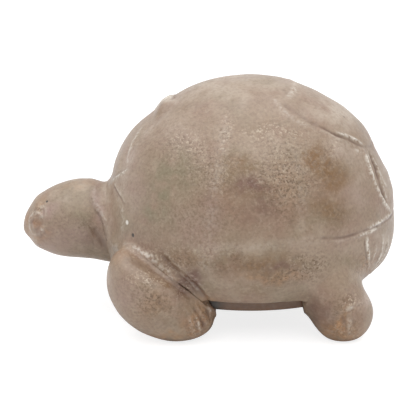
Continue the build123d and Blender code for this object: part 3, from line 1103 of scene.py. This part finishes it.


# The figurine is a little browner low down. The belly plate is umber all over, darkened with
# painted shade where it lies under the rim, and painted black with shadow where it runs in behind
# the flipper.
low_umber = 0.1
low_height = 32.0
low_reach = 16.0
belly_painted_shade = 0.25
gap_shadow_pixel = 214
gap_shadow_reach = 9
patch_fade = 1.15
for node, obj in clay.items():
    points = skins[node]
    across, down = in_picture(points)
    # The patches have uneven edges, and those of the far side lie a little elsewhere.
    is_far = points[:, 1] > 0
    across = across + is_far * 9 * np.sin(down / 23)
    down = down + is_far * 8 * np.sin(across / 31 + 2)
    uneven_across = across + 3.0 * np.sin(down / 7 + across / 19) + 1.5 * np.sin(down / 2.3 + across / 5)
    uneven_down = down + 3.0 * np.sin(across / 8 - down / 17) + 1.5 * np.sin(across / 2.6 + down / 6)
    for name, places in patches.items():
        strength = np.zeros(len(points))
        for u, v, half_u, half_v, amount in places:
            away = np.square((uneven_across - u) / half_u) + np.square((uneven_down - v) / half_v)
            strength = np.maximum(strength, amount * np.exp(-(away**patch_fade)))
        marks[node][name] = strength
    low_down = low_umber * np.clip((low_height - points[:, 2]) / low_reach, 0, 1)
    marks[node]["umber"] = np.maximum(marks[node]["umber"], low_down)
    if node == "belly_plate":
        marks[node]["umber"] = np.ones(len(points))
        marks[node]["crease"] = np.maximum(marks[node]["crease"], belly_painted_shade)
        marks[node]["gap_shadow_black"] = np.exp(-np.square((across - gap_shadow_pixel) / gap_shadow_reach))
    for name, strength in marks[node].items():
        attribute = obj.data.attributes.new(name, "FLOAT", "POINT")
        attribute.data.foreach_set("value", strength.astype(np.float32))

# The glaze's colours, from the ground up, among them painted glints and painted shade, and where
# its larger pinholes lie and the painted glint on one bubble in the glaze.
taupe = (0.295, 0.209, 0.144)
deep_taupe = (0.25, 0.168, 0.108)
green_taupe = (0.215, 0.17, 0.103)
red_taupe = (0.27, 0.16, 0.113)
light_taupe = (0.38, 0.295, 0.215)
patch_colours = {
    "pale": (0.43, 0.345, 0.27),
    "olive": (0.205, 0.168, 0.1),
    "lilac": (0.315, 0.207, 0.172),
    "umber": (0.17, 0.08, 0.019),
    "rose": (0.13, 0.057, 0.036),
    "tan": (0.4, 0.212, 0.095),
}
dark_grain = (0.13, 0.075, 0.04)
pale_grain_and_glint = (0.47, 0.37, 0.27)
pit_brown = (0.1, 0.052, 0.017)
painted_glint_white = (0.58, 0.48, 0.37)
broken_white_and_glint = (0.74, 0.68, 0.6)
pooled_glaze_and_shade_brown = (0.115, 0.058, 0.036)
gap_shadow_black = (0.03, 0.026, 0.02)
hole_black = (0.03, 0.02, 0.014)
painted_bubble_glint = (0.7, 0.66, 0.6)
pinholes = (((47.4, 201.8), 0.00048), ((132.6, 235.2), 0.0008), ((344, 117), 0.00032))
bubble_glint_pixel = (127.0, 222.4)
bubble_glint_radius = 0.0009
peel_per_metre = 1150.0
peel_height = 0.0004


def taupe_glaze():
    """The one coat that runs over every piece, from the pieces' shared place in the figurine."""
    glaze = bpy.data.materials.new("taupe_glaze")
    glaze.use_nodes = True
    nodes = glaze.node_tree.nodes
    links = glaze.node_tree.links
    shader = nodes["Principled BSDF"]
    place = nodes.new("ShaderNodeTexCoord").outputs["Object"]

    def put(value, socket):
        """Sets a socket to a number, or joins it to a value worked out before."""
        if isinstance(value, float):
            socket.default_value = value
        else:
            links.new(value, socket)

    def span(value, low, high):
        """A value stretched to run from 0 at low to 1 at high."""
        stretch = nodes.new("ShaderNodeMapRange")
        stretch.inputs["From Min"].default_value = low
        stretch.inputs["From Max"].default_value = high
        links.new(value, stretch.inputs["Value"])
        return stretch.outputs[0]

    def cloud(grains_per_metre, detail, low, high, seed=0.0):
        """Soft patches of about this many to the metre, none below low and full above high."""
        noise = nodes.new("ShaderNodeTexNoise")
        noise.noise_dimensions = "4D"
        noise.inputs["Scale"].default_value = grains_per_metre
        noise.inputs["Detail"].default_value = detail
        noise.inputs["W"].default_value = seed
        links.new(place, noise.inputs["Vector"])
        return span(noise.outputs[0], low, high)

    def combined(operation, value, other):
        """Two values, or a value and a number, added, subtracted or the like."""
        step = nodes.new("ShaderNodeMath")
        step.operation = operation
        put(value, step.inputs[0])
        put(other, step.inputs[1])
        return step.outputs[0]

    def times(value, other):
        """A value multiplied by another, or by a number."""
        return combined("MULTIPLY", value, other)

    def over(colour, added, amount):
        """One colour laid over another, by an amount."""
        layer = nodes.new("ShaderNodeMix")
        layer.data_type = "RGBA"
        links.new(amount, layer.inputs[0])
        if isinstance(colour, tuple):
            layer.inputs[6].default_value = (*colour, 1)
        else:
            links.new(colour, layer.inputs[6])
        layer.inputs[7].default_value = (*added, 1)
        return layer.outputs[2]

    def marked(name):
        """How strongly a mark left on the clay shows here."""
        mark = nodes.new("ShaderNodeAttribute")
        mark.attribute_name = name
        return mark.outputs["Fac"]

    def whole_skin(points):
        """The skin of the carapace and the head."""
        return np.minimum(carapace_form(points), head_form(points))

    def hole(pixel, radius):
        """A round spot of this radius in metres, where it shows in the picture."""
        middle = settle(on_clay([pixel], whole_skin), whole_skin)[0]
        away = nodes.new("ShaderNodeVectorMath")
        away.operation = "DISTANCE"
        links.new(place, away.inputs[0])
        away.inputs[1].default_value = middle / metre
        return span(away.outputs["Value"], radius, radius * 0.6)

    colour = over(taupe, deep_taupe, cloud(42, 3, 0.42, 0.66))
    colour = over(colour, green_taupe, times(cloud(60, 4, 0.48, 0.62, 3.0), 0.5))
    colour = over(colour, red_taupe, times(cloud(80, 4, 0.48, 0.62, 7.0), 0.5))
    colour = over(colour, light_taupe, times(cloud(170, 4, 0.5, 0.66, 4.0), 0.5))
    ragged = cloud(230, 4, 0.3, 0.56, 1.0)
    solid = cloud(420, 5, 0.1, 0.56, 5.0)
    grainy = cloud(470, 4, 0.3, 0.64, 5.0)
    breaks = {"pale": ragged, "olive": ragged, "lilac": solid, "umber": solid, "rose": solid, "tan": grainy}
    for name, broken in breaks.items():
        colour = over(colour, patch_colours[name], times(marked(name), broken))
    pitted = marked("pitted")
    glinting = marked("glinting")
    dark_grains = combined("ADD", times(pitted, 0.6), 0.3)
    colour = over(colour, dark_grain, times(cloud(1000, 2, 0.45, 0.7, 2.0), dark_grains))
    # Pale grains in the glaze, brightened into painted glints in the glinting patches.
    pale_grains_and_glints = combined("ADD", times(glinting, 0.7), 0.22)
    colour = over(colour, pale_grain_and_glint, times(cloud(900, 2, 0.52, 0.74, 9.0), pale_grains_and_glints))
    pits = times(cloud(1500, 1, 0.56, 0.64, 3.0), pitted)
    colour = over(colour, pit_brown, times(pits, 0.9))
    # Painted glints: pale spots of highlight in the glinting patches.
    painted_glint_spots = times(cloud(1500, 1, 0.57, 0.66, 8.0), glinting)
    colour = over(colour, painted_glint_white, times(painted_glint_spots, 0.7))
    # Pale glaze broken on raised edges, made bright as painted glints on the roll, the collar's edge and
    # the strongest burrs.
    colour = over(colour, broken_white_and_glint, times(marked("ridge"), cloud(1000, 3, 0.36, 0.58, 6.0)))
    # Glaze pooled in the lines and joints, and painted shade in the belly plate's joints and down the hind
    # thigh.
    colour = over(colour, pooled_glaze_and_shade_brown, times(marked("crease"), 0.85))
    # Painted shadow: black on the belly plate where it runs in behind the flipper.
    colour = over(colour, gap_shadow_black, marked("gap_shadow_black"))
    for pixel, radius in pinholes:
        colour = over(colour, hole_black, hole(pixel, radius))
    # A painted glint, white, on one bubble in the glaze.
    colour = over(colour, painted_bubble_glint, hole(bubble_glint_pixel, bubble_glint_radius))
    links.new(colour, shader.inputs["Base Color"])

    peel = nodes.new("ShaderNodeTexNoise")
    peel.inputs["Scale"].default_value = peel_per_metre
    peel.inputs["Detail"].default_value = 3.0
    links.new(place, peel.inputs["Vector"])
    relief = nodes.new("ShaderNodeBump")
    relief.inputs["Strength"].default_value = 0.5
    relief.inputs["Distance"].default_value = peel_height
    links.new(combined("SUBTRACT", peel.outputs[0], times(pits, 0.35)), relief.inputs["Height"])
    links.new(relief.outputs[0], shader.inputs["Normal"])
    shader.inputs["Roughness"].default_value = 0.55
    shader.inputs["Coat Weight"].default_value = 0.5
    shader.inputs["Coat Roughness"].default_value = 0.25
    links.new(relief.outputs[0], shader.inputs["Coat Normal"])
    return glaze


glaze = taupe_glaze()
for obj in clay.values():
    obj.data.materials.append(glaze)
